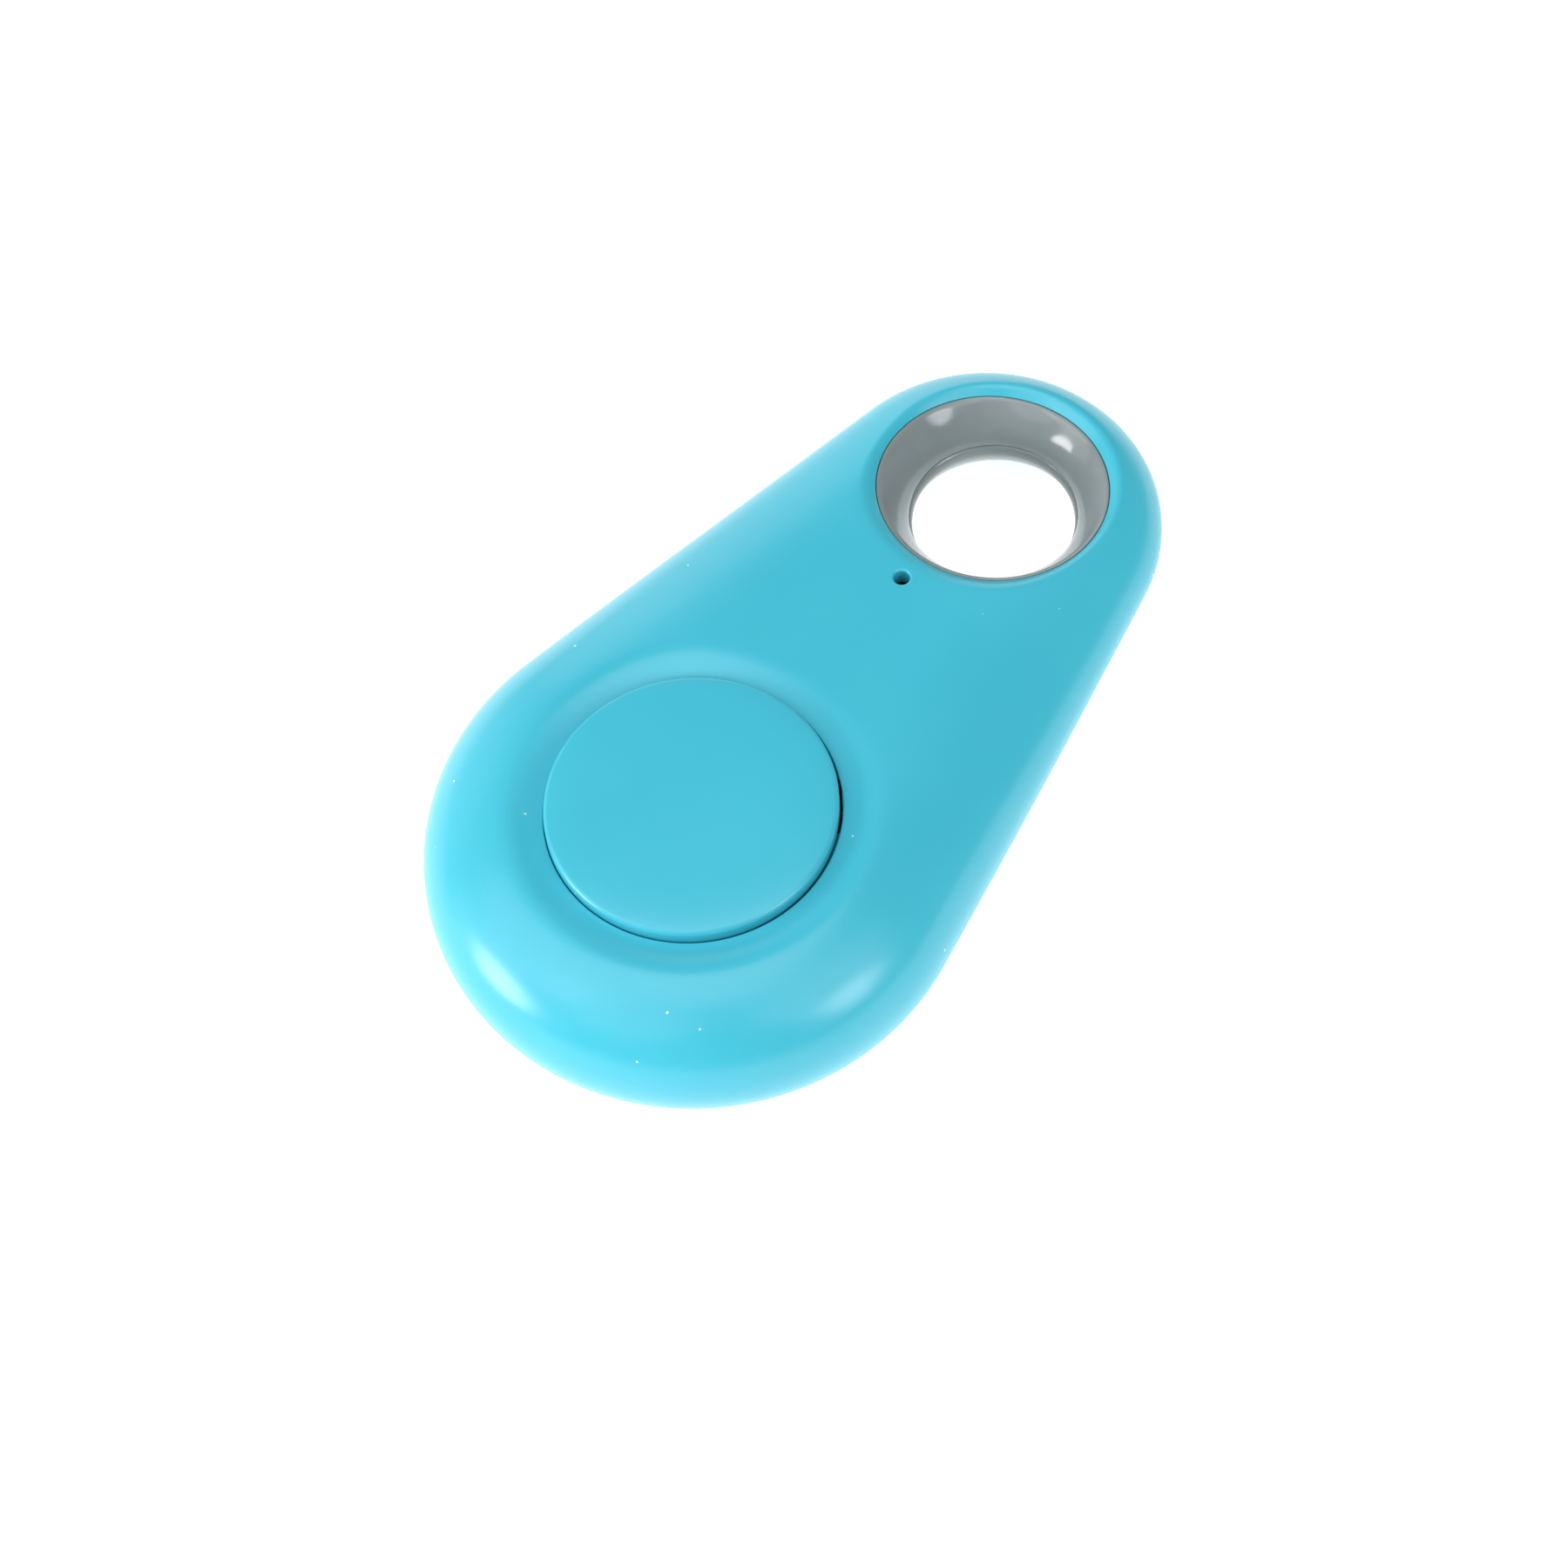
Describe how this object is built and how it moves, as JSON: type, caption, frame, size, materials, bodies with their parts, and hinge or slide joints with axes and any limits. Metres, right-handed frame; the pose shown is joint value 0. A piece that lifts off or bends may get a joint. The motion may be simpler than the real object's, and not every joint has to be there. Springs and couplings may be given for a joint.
{
  "type": "bluetooth tracker tag",
  "caption": "Teardrop key-finder tag: plastic case in two covers, round press button over a tact switch, coin cell and board inside, and a lined eye for a key ring.",
  "frame": {"origin": "on the resting plane, below the middle of the tag's length and width, with the tag lying on its back", "axes": "+Z out of the button, +Y along the tag from the button towards the key-ring eye, +X to the right seen from the button side with the eye away from the viewer"},
  "size_m": [0.0306, 0.052, 0.011],
  "materials": {
    "shell": "satin cyan ABS",
    "liner": "glossy grey",
    "board": "green solder mask",
    "cell_steel": "bright nickel-plated",
    "contact_steel": "plated spring sheet",
    "black_plastic": "matte",
    "seal": "matte",
    "copper": "enamelled wire",
    "ceramic": "fired ceramic",
    "white_ceramic": "fired ceramic",
    "led_resin": "clear resin"
  },
  "bodies": {
    "back": {"rear_cover": "shell", "liner_rear": "liner"},
    "housing": {"front_cover": "shell", "liner_front": "liner", "circuit_board": "board", "cell_can": "cell_steel", "cell_seal": "seal", "cell_lid": "cell_steel", "cell_strap": "contact_steel", "cell_contact": "contact_steel", "switch_base": "black_plastic", "switch_dome": "contact_steel", "switch_frame": "contact_steel", "switch_terminal_1": "contact_steel", "switch_terminal_2": "contact_steel", "switch_terminal_3": "contact_steel", "switch_terminal_4": "contact_steel", "buzzer_case": "black_plastic", "buzzer_coil": "copper", "buzzer_core": "contact_steel", "buzzer_diaphragm": "contact_steel", "buzzer_lid": "black_plastic", "radio_chip": "black_plastic", "crystal_main": "contact_steel", "crystal_clock": "contact_steel", "antenna_chip": "white_ceramic", "status_led": "led_resin", "driver_transistor": "black_plastic", "buzzer_inductor": "black_plastic", "capacitor_1": "ceramic", "capacitor_2": "ceramic", "capacitor_3": "ceramic", "capacitor_4": "ceramic", "capacitor_5": "ceramic", "capacitor_6": "ceramic", "resistor_1": "black_plastic", "resistor_2": "black_plastic", "resistor_3": "black_plastic", "resistor_4": "black_plastic"},
    "button": {"button_cap": "shell"},
    "plunger": {"switch_plunger": "black_plastic"}
  },
  "joints": [
    {"name": "cover_lift", "type": "slide", "parent": "back", "child": "housing", "axis": [0, 0, 1], "range_m": [0, 0.012]},
    {"name": "button_press", "type": "slide", "parent": "housing", "child": "button", "axis": [0, 0, -1], "range_m": [0, 0.00025], "stiffness_N_per_m": 4000},
    {"name": "plunger_press", "type": "slide", "parent": "housing", "child": "plunger", "axis": [0, 0, -1], "range_m": [0, 0.00025]}
  ],
  "couplings": [
    {"joint": "plunger_press", "follows": "button_press", "ratio": 1}
  ]
}
